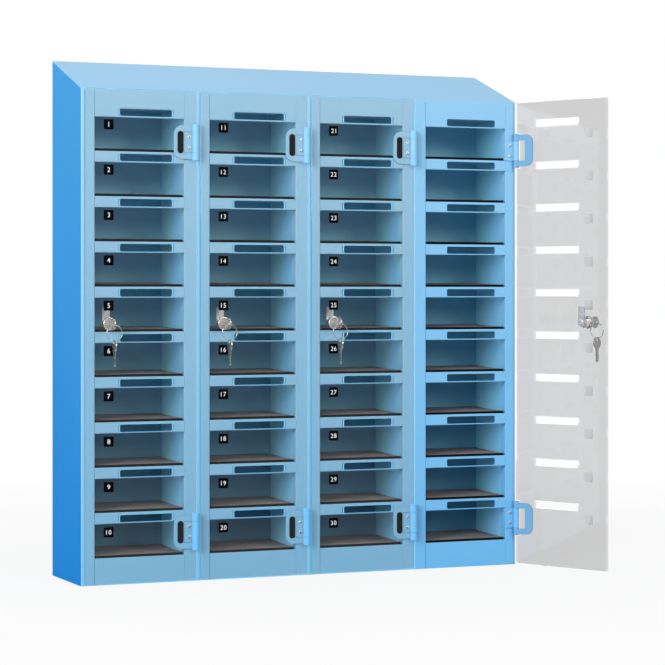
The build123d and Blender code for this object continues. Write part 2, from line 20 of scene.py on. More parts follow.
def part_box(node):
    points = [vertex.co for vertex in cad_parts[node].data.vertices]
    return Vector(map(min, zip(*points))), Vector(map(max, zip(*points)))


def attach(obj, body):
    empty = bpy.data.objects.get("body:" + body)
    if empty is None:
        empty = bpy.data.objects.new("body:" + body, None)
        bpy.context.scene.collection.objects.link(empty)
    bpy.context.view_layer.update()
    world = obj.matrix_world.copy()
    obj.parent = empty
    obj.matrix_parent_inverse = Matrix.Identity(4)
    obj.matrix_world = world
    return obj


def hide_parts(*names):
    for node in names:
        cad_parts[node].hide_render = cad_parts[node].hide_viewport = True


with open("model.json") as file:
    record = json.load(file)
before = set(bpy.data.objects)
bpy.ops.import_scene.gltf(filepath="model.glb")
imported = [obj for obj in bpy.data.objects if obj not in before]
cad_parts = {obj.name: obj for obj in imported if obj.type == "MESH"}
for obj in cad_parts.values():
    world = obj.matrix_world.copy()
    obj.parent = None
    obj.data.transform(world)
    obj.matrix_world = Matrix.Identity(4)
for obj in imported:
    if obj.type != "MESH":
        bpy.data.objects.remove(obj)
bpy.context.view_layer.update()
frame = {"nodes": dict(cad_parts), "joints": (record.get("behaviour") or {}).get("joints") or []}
LOG = logging.getLogger("locker")

Colour = tuple[float, float, float]
Direction = tuple[float, float, float]
Point = tuple[float, float, float]
Shade = tuple[Colour, Colour]
Span = tuple[float, float]
Socket = bpy.types.NodeSocket

COLUMNS = 4
ROWS = 10
MM = 0.001
ROW_PITCH = 80.0 * MM
DOOR_OPEN = math.radians(115.0)
UP = (0.0, 0.0, 1.0)
BACKWARD = (0.0, 1.0, 0.0)
FORWARD = (0.0, -1.0, 0.0)

# The least cosine at which a face or an edge counts as looking or running along a direction.
ALONG = 0.9
MERGE_DISTANCE = 1e-7


class Stance(Enum):
    """How a door stands at rest, by the way that its outer face looks."""

    SHUT = FORWARD
    OPEN = (math.sin(DOOR_OPEN), -math.cos(DOOR_OPEN), 0.0)


# ------------------------------------------------------------------ shader helpers


class Nodes:
    """A thin writer for one node tree, with shorthand for what the finishes share."""

    MIX_FACTOR, MIX_FIRST, MIX_SECOND, MIX_RESULT = 0, 6, 7, 2

    def __init__(self, tree: bpy.types.NodeTree) -> None:
        """Starts with an empty tree.

        Args:
            tree: The material, world or group tree to fill.
        """
        self.tree = tree
        tree.nodes.clear()

    def add(self, kind: str, **settings: object) -> bpy.types.Node:
        """Adds a node and sets its own properties.

        Args:
            kind: The node's type name, without the "ShaderNode" prefix.
            **settings: Properties of the node itself.

        Returns:
            The new node.
        """
        node = self.tree.nodes.new("ShaderNode" + kind)
        for name, value in settings.items():
            setattr(node, name, value)
        return node

    def feed(self, target: Socket, value: object) -> None:
        """Links an input to a socket, or sets it to a plain value.

        Args:
            target: The input.
            value: An output socket, a number, a colour or a direction.
        """
        if isinstance(value, bpy.types.NodeSocket):
            self.tree.links.new(value, target)
        elif isinstance(value, tuple) and target.type == "RGBA":
            target.default_value = (*value, 1.0)
        else:
            target.default_value = value

    def fill(self, node: bpy.types.Node, **values: object) -> None:
        """Feeds inputs of a node by name.

        Args:
            node: The node.
            **values: Input names, with underscores for spaces, and their sockets or values.
        """
        for name, value in values.items():
            self.feed(node.inputs[name.replace("_", " ")], value)

    def maths(self, operation: str, first: object, second: object = 0.0) -> Socket:
        """A Math node on two values or sockets.

        Args:
            operation: The Math node's operation.
            first: A number or an output socket.
            second: A number or an output socket.

        Returns:
            The node's output.
        """
        node = self.add("Math", operation=operation)
        self.feed(node.inputs[0], first)
        self.feed(node.inputs[1], second)
        return node.outputs[0]

    def highest(self, first: Socket, *others: Socket) -> Socket:
        """The highest of some sockets.

        Args:
            first: An output socket.
            *others: More of them.

        Returns:
            The highest value.
        """
        for other in others:
            first = self.maths("MAXIMUM", first, other)
        return first

    def blend(self, factor: object, first: object, second: object) -> Socket:
        """A colour mix of two colours or sockets.

        Args:
            factor: A number or an output socket.
            first: The colour at factor 0.
            second: The colour at factor 1.

        Returns:
            The mixed colour.
        """
        node = self.add("Mix", data_type="RGBA")
        self.feed(node.inputs[self.MIX_FACTOR], factor)
        self.feed(node.inputs[self.MIX_FIRST], first)
        self.feed(node.inputs[self.MIX_SECOND], second)
        return node.outputs[self.MIX_RESULT]

    def ramp(
        self,
        value: Socket,
        span: Span,
        low: object = 0.0,
        high: object = 1.0,
        smooth: bool = False,
    ) -> Socket:
        """A Map Range node on one value, held at its ends.

        Args:
            value: The value.
            span: The values at which the result is low and high.
            low: The low result, a number or an output socket.
            high: The high result, a number or an output socket.
            smooth: Whether the change eases in and out.

        Returns:
            The result.
        """
        node = self.add("MapRange", interpolation_type="SMOOTHSTEP" if smooth else "LINEAR")
        self.fill(node, Value=value, From_Min=span[0], From_Max=span[1], To_Min=low, To_Max=high)
        return node.outputs["Result"]

    def noise(self, where: Socket, scale: object, detail: float) -> Socket:
        """A Noise Texture node.

        Args:
            where: The coordinates.
            scale: A number or an output socket.
            detail: How many finer layers are added.

        Returns:
            The noise, from 0 to 1.
        """
        node = self.add("TexNoise")
        self.fill(node, Vector=where, Scale=scale, Detail=detail)
        return node.outputs["Fac"]

    def bump(self, height: Socket, strength: Socket, distance: float) -> Socket:
        """A Bump node.

        Args:
            height: The surface's height.
            strength: The strength's socket.
            distance: The height of 1, in metres.

        Returns:
            The bent normal.
        """
        node = self.add("Bump")
        self.fill(node, Height=height, Strength=strength, Distance=distance)
        return node.outputs["Normal"]

    def split(self, vector: Socket) -> dict[str, Socket]:
        """Splits a vector.

        Args:
            vector: The vector.

        Returns:
            Its parts, by the axis's name.
        """
        node = self.add("SeparateXYZ")
        self.fill(node, Vector=vector)
        return {axis: node.outputs[axis] for axis in "XYZ"}

    def dot(self, vector: Socket, way: Direction) -> Socket:
        """How far a vector runs along a direction.

        Args:
            vector: The vector.
            way: The direction.

        Returns:
            The dot product.
        """
        node = self.add("VectorMath", operation="DOT_PRODUCT")
        self.feed(node.inputs[0], vector)
        self.feed(node.inputs[1], way)
        return node.outputs["Value"]

    def seen(self, path: bpy.types.Node) -> Socket:
        """Whether a ray shows the surround: straight, through glass or off a gloss.

        Args:
            path: A Light Path node of this tree.

        Returns:
            1 for such a ray, otherwise 0.
        """
        rays = ("Is Camera Ray", "Is Transmission Ray", "Is Glossy Ray")
        return self.highest(*(path.outputs[ray] for ray in rays))

    def mix_shaders(self, factor: Socket, first: Socket, second: Socket) -> Socket:
        """A Mix Shader node.

        Args:
            factor: The second shader's share.
            first: The shader at factor 0.
            second: The shader at factor 1.

        Returns:
            The mixed shader.
        """
        node = self.add("MixShader")
        for target, value in zip(node.inputs, (factor, first, second)):
            self.feed(target, value)
        return node.outputs["Shader"]

    def place(self, group: bpy.types.NodeTree, **values: float) -> bpy.types.Node:
        """Places a shared effect with its own values.

        Args:
            group: The effect's node group.
            **values: Input names, with underscores for spaces, and their values.

        Returns:
            The group node.
        """
        node = self.add("Group")
        node.node_tree = group
        self.fill(node, **values)
        return node

    def surface(self, shader: bpy.types.Node, tint: Socket, marks: bpy.types.Node) -> None:
        """Gives a shader its colour, with the roughness and the normal of a shared effect.

        Args:
            shader: The Principled node.
            tint: The colour.
            marks: The shared effect's group node.
        """
        outputs = marks.outputs
        self.fill(shader, Base_Color=tint, Roughness=outputs["Roughness"], Normal=outputs["Normal"])


def new_group(
    name: str, inputs: tuple[str, ...], extra: str
) -> tuple[Nodes, bpy.types.Node, bpy.types.Node]:
    """Makes an empty shader group that puts out a roughness, a normal and one more value.

    Args:
        name: The group's name.
        inputs: Names of its number inputs.
        extra: The name of its third output.

    Returns:
        The group's writer, its input node and its output node.
    """
    group = bpy.data.node_groups.new(name, "ShaderNodeTree")
    for label in inputs:
        group.interface.new_socket(label, in_out="INPUT", socket_type="NodeSocketFloat")
    for label, kind in (("Roughness", "Float"), ("Normal", "Vector"), (extra, "Float")):
        group.interface.new_socket(label, in_out="OUTPUT", socket_type="NodeSocket" + kind)
    nodes = Nodes(group)
    return nodes, group.nodes.new("NodeGroupInput"), group.nodes.new("NodeGroupOutput")


def fine_grain() -> bpy.types.NodeTree:
    """The shared surface grain: a fine bump and a slow drift in gloss, on Object coordinates.

    Returns:
        The group, built on first use.
    """
    name = "fine_grain"
    if name in bpy.data.node_groups:
        return bpy.data.node_groups[name]
    fine_detail, drift_detail = 2.0, 3.0
    drift_span = (0.3, 0.7)
    bump_height = 0.2 * MM
    inputs = ("Scale", "Depth", "Drift Scale", "Rough Low", "Rough High")
    nodes, entry, leave = new_group(name, inputs, "Drift")
    scale, depth, drift_scale, low, high = (entry.outputs[label] for label in inputs)
    where = nodes.add("TexCoord").outputs["Object"]
    fine = nodes.noise(where, scale, fine_detail)
    drift = nodes.noise(where, drift_scale, drift_detail)
    roughness = nodes.ramp(drift, drift_span, low, high)
    normal = nodes.bump(fine, depth, bump_height)
    nodes.fill(leave, Roughness=roughness, Normal=normal, Drift=drift)
    return nodes.tree


def machined_lines() -> bpy.types.NodeTree:
    """The shared mark of a tool on plated metal: fine lines across Z with a slow change of gloss.

    Returns:
        The group, built on first use.
    """
    name = "machined_lines"
    if name in bpy.data.node_groups:
        return bpy.data.node_groups[name]
    line_detail = 4.0
    line_stretch = (0.08, 0.08, 1.0)
    bump_height = 0.1 * MM
    inputs = ("Scale", "Depth", "Rough Low", "Rough High")
    nodes, entry, leave = new_group(name, inputs, "Lines")
    scale, depth, low, high = (entry.outputs[label] for label in inputs)
    stretch = nodes.add("Mapping")
    nodes.fill(stretch, Vector=nodes.add("TexCoord").outputs["Object"], Scale=line_stretch)
    lines = nodes.noise(stretch.outputs["Vector"], scale, line_detail)
    roughness = nodes.ramp(lines, (0.0, 1.0), low, high)
    normal = nodes.bump(lines, depth, bump_height)
    nodes.fill(leave, Roughness=roughness, Normal=normal, Lines=lines)
    return nodes.tree


# ------------------------------------------------------------------ finishes


def start_material(
    name: str,
) -> tuple[bpy.types.Material, Nodes, bpy.types.Node, bpy.types.Node]:
    """Makes a material with a Principled shader wired to its output.

    Args:
        name: The material's name.

    Returns:
        The material, its writer, its Principled node and its output node.
    """
    material = bpy.data.materials.new(name)
    material.use_nodes = True
    nodes = Nodes(material.node_tree)
    shader = nodes.add("BsdfPrincipled")
    output = nodes.add("OutputMaterial")
    nodes.fill(output, Surface=shader.outputs["BSDF"])
    return material, nodes, shader, output


@dataclass(frozen=True)
class Grain:
    """How a finish uses the shared grain.

    Attributes:
        scale: How fine the grain is.
        depth: How deep it is.
        drift: How fast gloss and colour drift.
        gloss: The least and the most roughness.
    """

    scale: float
    depth: float
    drift: float
    gloss: Span

    def place(self, nodes: Nodes) -> bpy.types.Node:
        """Places the grain in a material.

        Args:
            nodes: The material's writer.

        Returns:
            The group node.
        """
        return nodes.place(
            fine_grain(),
            Scale=self.scale,
            Depth=self.depth,
            Drift_Scale=self.drift,
            Rough_Low=self.gloss[0],
            Rough_High=self.gloss[1],
        )


@dataclass(frozen=True)
class Finish(ABC):
    """What a piece is made of or coated with.

    Attributes:
        name: The material's name.
    """

    name: str

    @abstractmethod
    def build(self) -> bpy.types.Material:
        """Makes the material.

        Returns:
            The material, under the finish's name.
        """


@dataclass(frozen=True)
class PowderCoat(Finish):
    """Baked powder paint on sheet steel: satin, with a slight orange peel, and with painted light
    and shade in its colour.

    Each shade is a pair of colours, at the foot and at the top, save that the walls between the
    compartments go from their front to their back. The change along a pair is painted light and
    shade, and every shade but the front's is the coat painted lighter, darker or hazier where
    light, shade or reflection falls. Places are in metres.

    Attributes:
        front: The shade of the top and of the front where no shut door covers it, paler towards the
            top as a painted reflection.
        veiled: The front behind the doors that are shut, greyer: a painted reflection of the haze
            that the doors lay over the steel.
        side: The cabinet's outer sides, a deeper blue that is painted shade.
        wall: The walls between the compartments, with painted light that is dimmer at their front
            and brighter towards their back.
        rear: The backs of the compartments, darker than the front: painted shade, deepest in the
            lowest rows.
        rear_foot: The paler band above each mat, which is painted light.
        grain: The orange peel.
        specular: The strength of the reflection.
        drift_reach: How much of the height the drift moves the colour by.
        height: Where a shade reaches its upper colour, the top of the painted change from foot to
            top.
        cell_floor: The floor of the lowest compartment.
        half_width: Where the outer sides begin, either way from the middle.
        last_column: Where the front of the last column begins, whose door stands open, so that no
            painted haze lies there.
        proud: What lies before this stands clear of the doors, and gets no painted haze.
        front_height: Where the sloping top begins, which gets no painted haze.
        inside: Where the compartments begin, behind the front.
        wall_span: Where the painted light on the walls between the compartments changes.
        band_span: The part of a compartment's height over which the painted light band fades.
        square_span: The cosines at which a face starts to count as square to an axis, and does.
    """

    front: Shade
    veiled: Shade
    side: Shade
    wall: Shade
    rear: Shade
    rear_foot: Shade
    grain: Grain = Grain(scale=420.0, depth=0.12, drift=3.0, gloss=(0.34, 0.42))
    specular: float = 0.25
    drift_reach: float = 0.2
    height: float = 0.9
    cell_floor: float = 0.048
    half_width: float = 0.4312
    last_column: float = 0.216
    proud: float = -0.0925
    front_height: float = 0.877
    inside: float = -0.07
    wall_span: Span = (-0.06, 0.035)
    band_span: Span = (0.05, 0.55)
    square_span: Span = (0.7, 1.0)

    def turned(self, nodes: Nodes, facing: Socket) -> Socket:
        """How squarely a surface faces along one axis.

        Args:
            nodes: The material's writer.
            facing: The part of the surface's normal along the axis.

        Returns:
            1 where the surface is square to the axis, falling to 0 round a bend.
        """
        return nodes.ramp(nodes.maths("ABSOLUTE", facing), self.square_span, smooth=True)

    def front_tint(self, nodes: Nodes, spot: dict[str, Socket], rise: Socket) -> Socket:
        """The colour of the front and the top, with a painted reflection that makes the top paler
        and greys the steel behind shut doors.

        Args:
            nodes: The material's writer.
            spot: The place on the cabinet, split.
            rise: The height, from 0 to 1.

        Returns:
            The front's shade, or the painted haze behind a door that is shut.
        """
        # Where the front is clear of shut doors, stands proud of them or is the sloping top, it
        # gets no painted haze.
        free_of_painted_haze = nodes.highest(
            nodes.maths("GREATER_THAN", spot["X"], self.last_column),
            nodes.maths("LESS_THAN", spot["Y"], self.proud),
            nodes.maths("GREATER_THAN", spot["Z"], self.front_height),
        )
        return nodes.blend(free_of_painted_haze, nodes.blend(rise, *self.veiled), nodes.blend(rise, *self.front))

    def rear_tint(self, nodes: Nodes, spot: dict[str, Socket], rise: Socket) -> Socket:
        """The colour of the compartments' backs: painted shade, with a band of painted light.

        Args:
            nodes: The material's writer.
            spot: The place on the cabinet, split.
            rise: The height, from 0 to 1.

        Returns:
            The rear's painted shade, with the band of painted light at each compartment's foot.
        """
        # A band of painted light at the foot of each compartment's back, over painted shade.
        above = nodes.maths("SUBTRACT", spot["Z"], self.cell_floor)
        above = nodes.maths("FRACT", nodes.maths("DIVIDE", above, ROW_PITCH))
        clear_of_band = nodes.ramp(above, self.band_span, smooth=True)
        band = nodes.blend(rise, *self.rear_foot)
        return nodes.blend(clear_of_band, band, nodes.blend(rise, *self.rear))

    def build(self) -> bpy.types.Material:
        """Makes the material.

        Returns:
            The material, under the finish's name.
        """
        material, nodes, shader, _ = start_material(self.name)
        grain = self.grain.place(nodes)
        where = nodes.add("TexCoord")
        spot = nodes.split(where.outputs["Object"])
        facing = nodes.split(where.outputs["Normal"])
        drift = nodes.maths("MULTIPLY", grain.outputs["Drift"], self.drift_reach)
        # The height from 0 to 1, moved at random by the drift, along which each shade's painted
        # light and shade changes.
        rise = nodes.maths("ADD", nodes.maths("DIVIDE", spot["Z"], self.height), drift)
        rise = nodes.maths("SUBTRACT", rise, self.drift_reach / 2)
        inside = nodes.maths("GREATER_THAN", spot["Y"], self.inside)
        outer = nodes.maths("GREATER_THAN", nodes.maths("ABSOLUTE", spot["X"]), self.half_width)
        sideways = self.turned(nodes, facing["X"])
        rearward = self.turned(nodes, facing["Y"])
        # Painted light on the walls between the compartments: dimmer at the front, brighter towards
        # the back.
        wall = nodes.blend(nodes.ramp(spot["Y"], self.wall_span, smooth=True), *self.wall)
        tint = self.front_tint(nodes, spot, rise)
        for share, part, shade in (
            (sideways, inside, wall),
            (rearward, inside, self.rear_tint(nodes, spot, rise)),
            # The outer sides get painted shade.
            (sideways, outer, nodes.blend(rise, *self.side)),
        ):
            tint = nodes.blend(nodes.maths("MULTIPLY", share, part), tint, shade)
        nodes.surface(shader, tint, grain)
        nodes.fill(shader, Specular_IOR_Level=self.specular)
        return material


@dataclass(frozen=True)
class ClearAcrylic(Finish):
    """Polished cast acrylic with a faint grey tint, which lets lamps through to what is behind; its
    cut edges glow with painted light.

    Attributes:
        stance: How the door stands, which tells its faces from its cut edges.
        tint: The sheet's colour.
        edge_glow: The painted light that the cut edges give off.
        edge_base: The colour of the cut edges under that painted light.
        edge_limit: The cosine to the door's outward direction below which a surface is a cut edge.
        ior: The index of refraction.
    """

    stance: Stance
    tint: Colour
    edge_glow: Colour
    edge_base: Colour = (0.01, 0.01, 0.01)
    edge_limit: float = 0.8
    ior: float = 1.49

    def build(self) -> bpy.types.Material:
        """Makes the material.

        Returns:
            The material, under the finish's name.
        """
        material, nodes, shader, output = start_material(self.name)
        across = nodes.dot(nodes.add("TexCoord").outputs["Normal"], self.stance.value)
        cut = nodes.maths("LESS_THAN", nodes.maths("ABSOLUTE", across), self.edge_limit)
        nodes.fill(
            shader,
            Base_Color=nodes.blend(cut, self.tint, self.edge_base),
            # The cut edges glow: painted light.
            Emission_Color=nodes.blend(cut, (0.0, 0.0, 0.0), self.edge_glow),
            Emission_Strength=1.0,
            Transmission_Weight=1.0,
            IOR=self.ior,
            Roughness=0.0,
        )
        path = nodes.add("LightPath").outputs
        passing = nodes.highest(path["Is Shadow Ray"], path["Is Diffuse Ray"])
        clear = nodes.add("BsdfTransparent").outputs["BSDF"]
        nodes.fill(output, Surface=nodes.mix_shaders(passing, shader.outputs["BSDF"], clear))
        return material


@dataclass(frozen=True)
class FoamMat(Finish):
    """A rubber-backed mat: worn grey-brown nap on top, black at the cut edges, which is partly the
    dark rubber and partly painted shade.

    Attributes:
        nap: The paler colour of the nap.
        nap_dark: Its darker colour.
        edge: The colour of the cut edges, partly the dark rubber and partly painted shade.
        grain: The nap's grain.
        specular: The strength of the reflection.
        fibre_scale: How fine the fibres are.
        fibre_detail: How many finer layers they have.
        fibre_gain: How strongly fibres and drift together move the colour.
        top_span: The cosines to the upright at which the top begins, and is reached.
    """

    nap: Colour
    nap_dark: Colour
    edge: Colour
    grain: Grain = Grain(scale=900.0, depth=0.6, drift=22.0, gloss=(0.75, 0.9))
    specular: float = 0.1
    fibre_scale: float = 1400.0
    fibre_detail: float = 3.0
    fibre_gain: float = 3.0
    top_span: Span = (0.75, 0.95)

    def build(self) -> bpy.types.Material:
        """Makes the material.

        Returns:
            The material, under the finish's name.
        """
        material, nodes, shader, _ = start_material(self.name)
        grain = self.grain.place(nodes)
        where = nodes.add("TexCoord")
        fibres = nodes.noise(where.outputs["Object"], self.fibre_scale, self.fibre_detail)
        mixed = nodes.maths("MULTIPLY", fibres, grain.outputs["Drift"])
        shade = nodes.maths("MULTIPLY", mixed, self.fibre_gain)
        nap = nodes.blend(shade, self.nap_dark, self.nap)
        on_top = nodes.ramp(nodes.split(where.outputs["Normal"])["Z"], self.top_span)
        # Near black on every face but the top: partly the dark rubber, partly painted shade.
        nodes.surface(shader, nodes.blend(on_top, self.edge, nap), grain)
        nodes.fill(shader, Specular_IOR_Level=self.specular)
        return material


@dataclass(frozen=True)
class PlatedMetal(Finish):
    """Bright plating over a machined or stamped part.

    Attributes:
        colour: The plating's colour.
        shade: Its colour in the marks of the tool.
        gloss: The least and the most roughness.
        line_scale: How fine the marks are.
        line_depth: How deep they are.
    """

    colour: Colour
    shade: Colour
    gloss: Span = (0.2, 0.34)
    line_scale: float = 900.0
    line_depth: float = 0.2

    def build(self) -> bpy.types.Material:
        """Makes the material.

        Returns:
            The material, under the finish's name.
        """
        material, nodes, shader, _ = start_material(self.name)
        marks = nodes.place(
            machined_lines(),
            Scale=self.line_scale,
            Depth=self.line_depth,
            Rough_Low=self.gloss[0],
            Rough_High=self.gloss[1],
        )
        nodes.surface(shader, nodes.blend(marks.outputs["Lines"], self.shade, self.colour), marks)
        nodes.fill(shader, Metallic=1.0)
        return material


@dataclass(frozen=True)
class PrintedFilm(Finish):
    """Label stock, ink or tape: an even colour with a slight grain.

    Attributes:
        colour: The film's colour.
        grain: The film's grain.
        specular: The strength of the reflection.
        drift_shade: The darker colour's share of the film's colour.
    """

    colour: Colour
    grain: Grain
    specular: float = 0.15
    drift_shade: float = 0.8

    def build(self) -> bpy.types.Material:
        """Makes the material.

        Returns:
            The material, under the finish's name.
        """
        material, nodes, shader, _ = start_material(self.name)
        grain = self.grain.place(nodes)
        darker = tuple(self.drift_shade * channel for channel in self.colour)
        nodes.surface(shader, nodes.blend(grain.outputs["Drift"], darker, self.colour), grain)
        nodes.fill(shader, Specular_IOR_Level=self.specular)
        return material


# A darker copy of the blue coat: painted shade for the hinge leaves of a door that stands open.
HINGE_PAINTED_SHADE = ((0.150, 0.36, 0.57), (0.165, 0.37, 0.59))

# The coat's shades hold painted light and shade: a painted reflection that makes the top paler, a
# painted haze behind the shut doors, painted shade on the outer sides and the compartments' backs,
# and painted light on the walls between them and above each mat.
COAT = PowderCoat(
    "blue_powder_coat",
    front=((0.132, 0.42, 0.73), (0.240, 0.505, 0.745)),
    veiled=((0.180, 0.415, 0.62), (0.285, 0.50, 0.67)),
    side=((0.0, 0.20, 0.58), (0.045, 0.305, 0.66)),
    wall=((0.19, 0.51, 0.79), (0.33, 0.80, 0.98)),
    rear=((0.045, 0.18, 0.30), (0.15, 0.48, 0.73)),
    rear_foot=((0.10, 0.30, 0.46), (0.36, 0.84, 0.98)),
)
SHADED_HINGE_COAT = PowderCoat(
    "hinge_shaded_powder_coat",
    front=HINGE_PAINTED_SHADE,
    veiled=HINGE_PAINTED_SHADE,
    side=HINGE_PAINTED_SHADE,
    wall=HINGE_PAINTED_SHADE,
    rear=HINGE_PAINTED_SHADE,
    rear_foot=HINGE_PAINTED_SHADE,
    grain=Grain(scale=420.0, depth=0.12, drift=3.0, gloss=(0.28, 0.34)),
)
SHUT_ACRYLIC = ClearAcrylic(
    "clear_acrylic", Stance.SHUT, tint=(0.92, 0.925, 0.915), edge_glow=(0.10, 0.34, 0.54)
)
OPEN_ACRYLIC = ClearAcrylic(
    "clear_acrylic_open", Stance.OPEN, tint=(0.685, 0.685, 0.69), edge_glow=(0.62, 0.63, 0.64)
)
MAT = FoamMat(
    "foam_mat", nap=(0.285, 0.245, 0.225), nap_dark=(0.14, 0.125, 0.12), edge=(0.003, 0.003, 0.004)
)
CHROME = PlatedMetal("lock_plating", colour=(0.90, 0.89, 0.87), shade=(0.62, 0.61, 0.59))
ZINC = PlatedMetal(
    "cam_zinc", colour=(0.70, 0.71, 0.72), shade=(0.45, 0.46, 0.47), gloss=(0.3, 0.45)
)
KEY_NICKEL = PlatedMetal(
    "key_nickel", colour=(0.66, 0.64, 0.60), shade=(0.40, 0.39, 0.36), line_scale=500.0
)
RING_STEEL = PlatedMetal(
    "ring_steel", colour=(0.72, 0.72, 0.71), shade=(0.5, 0.5, 0.49), gloss=(0.15, 0.25)
)
PIN_STEEL = PlatedMetal(
    "pin_steel", colour=(0.70, 0.71, 0.73), shade=(0.5, 0.5, 0.52), gloss=(0.25, 0.35)
)
SCREW_STEEL = PlatedMetal(
    "screw_steel", colour=(0.80, 0.80, 0.80), shade=(0.6, 0.6, 0.6), gloss=(0.2, 0.3)
)
TAPE_GRAIN = Grain(scale=1500.0, depth=0.5, drift=60.0, gloss=(0.7, 0.85))
LABEL_GRAIN = Grain(scale=1500.0, depth=0.05, drift=60.0, gloss=(0.5, 0.6))
INK_GRAIN = Grain(scale=1500.0, depth=0.05, drift=60.0, gloss=(0.4, 0.5))
TAPE = PrintedFilm("foam_tape", colour=(0.008, 0.009, 0.012), grain=TAPE_GRAIN)
LABEL_BLACK = PrintedFilm(
    "label_black", colour=(0.002, 0.003, 0.004), grain=LABEL_GRAIN, specular=0.0
)
LABEL_BACK = PrintedFilm("label_backing", colour=(0.66, 0.66, 0.66), grain=LABEL_GRAIN)
INK_WHITE = PrintedFilm("numeral_white", colour=(0.90, 0.90, 0.88), grain=INK_GRAIN)


class Finishes:
    """Builds each finish once and hands out its material."""

    def __init__(self) -> None:
        """Starts with nothing built."""
        self.made: dict[str, bpy.types.Material] = {}

    def get(self, finish: Finish) -> bpy.types.Material:
        """The material of a finish.

        Args:
            finish: The finish.

        Returns:
            The material, built on first use.
        """
        if finish.name not in self.made:
            self.made[finish.name] = finish.build()
        return self.made[finish.name]


FINISHES = Finishes()


def dress(node: str, finish: Finish) -> None:
    """Gives a CAD node its finish.

    Args:
        node: The CAD node's name.
        finish: Its finish.
    """
    item = frame["nodes"][node]
    item.data.materials.clear()
    item.data.materials.append(FINISHES.get(finish))
    LOG.info("dressed %s in %s", node, finish.name)


# ------------------------------------------------------------------ shapes


def extent(points: Iterable[Vector]) -> tuple[Vector, Vector]:
    """The box round some points.

    Args:
        points: The points.

    Returns:
        The lowest and highest corner.
    """
    kept = list(points)
    low = Vector(min(point[axis] for point in kept) for axis in range(3))
    high = Vector(max(point[axis] for point in kept) for axis in range(3))
    return low, high


def add_block(shape: bmesh.types.BMesh, middle: Vector, size: Vector) -> None:
    """Adds a plain block to a mesh.

    Args:
        shape: The mesh.
        middle: The block's centre.
        size: Its size along each axis.
    """
    place = Matrix.Translation(middle) @ Matrix.Diagonal((*size, 1.0))
    bmesh.ops.create_cube(shape, size=1.0, matrix=place)


def edges_along(shape: bmesh.types.BMesh, way: Direction) -> list[bmesh.types.BMEdge]:
    """The edges that run along a direction, either way.

    Args:
        shape: The mesh.
        way: The direction.

    Returns:
        The edges.
    """
    found = []
    for edge in shape.edges:
        run = (edge.verts[0].co - edge.verts[1].co).normalized()
        if abs(run.dot(Vector(way))) > ALONG:
            found.append(edge)
    return found


def edges_round(shape: bmesh.types.BMesh, way: Direction) -> list[bmesh.types.BMEdge]:
    """The edges round the faces that look one way.

    Args:
        shape: The mesh.
        way: The direction.

    Returns:
        The edges, each with one such face.
    """
    found = []
    for edge in shape.edges:
        if sum(face.normal.dot(Vector(way)) > ALONG for face in edge.link_faces) == 1:
            found.append(edge)
    return found


def soften(
    shape: bmesh.types.BMesh, edges: list[bmesh.types.BMEdge], offset: float, segments: int
) -> None:
    """Rounds edges of a mesh.

    Args:
        shape: The mesh.
        edges: The edges.
        offset: How far from the edge the rounding begins.
        segments: How many faces go round it.
    """
    bmesh.ops.bevel(
        shape,
        geom=edges,
        offset=offset,
        segments=segments,
        affect="EDGES",
        profile=0.5,
        material=-1,
    )


def finish_piece(
    name: str, shape: bmesh.types.BMesh, finishes: list[Finish]
) -> bpy.types.Object:
    """Turns a finished bmesh into a scene object at the origin.

    Args:
        name: The piece's name.
        shape: The mesh, already in its place.
        finishes: The finishes of its material slots, in order.

    Returns:
        The new object.
    """
    mesh = bpy.data.meshes.new(name)
    shape.to_mesh(mesh)
    shape.free()
    for finish in finishes:
        mesh.materials.append(FINISHES.get(finish))
    piece = bpy.data.objects.new(name, mesh)
    bpy.context.scene.collection.objects.link(piece)
    LOG.info("built %s with %d faces", name, len(mesh.polygons))
    return piece


# ------------------------------------------------------------------ where things are


def joint(name: str) -> dict:
    """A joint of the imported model.

    Args:
        name: The joint's name.

    Returns:
        The joint's record.
    """
    return next(item for item in frame["joints"] if item["name"] == name)


def door_turn(number: int) -> Matrix:
    """The turn that takes a shut door to where it stands at rest.

    Args:
        number: The door's number, from 1.

    Returns:
        The matrix about the door's hinge line, which is no turn for a door that is shut at rest.
    """
    hinge = Vector(joint(f"door_hinge_{number}")["pos_m"])
    out = Vector(joint(f"lock_turn_{number}")["axis"])
    turn = Matrix.Rotation(math.atan2(out.x, -out.y), 4, "Z")
    return Matrix.Translation(hinge) @ turn @ Matrix.Translation(-hinge)


def shut_box(number: int, node: str) -> tuple[Vector, Vector]:
    """The box of a door's node as it lies with the door shut.

    Args:
        number: The door's number, from 1.
        node: The CAD node's name.

    Returns:
        The lowest and highest corner.
    """
    back = door_turn(number).inverted()
    return extent(back @ vertex.co for vertex in frame["nodes"][node].data.vertices)


# ------------------------------------------------------------------ sub-assemblies


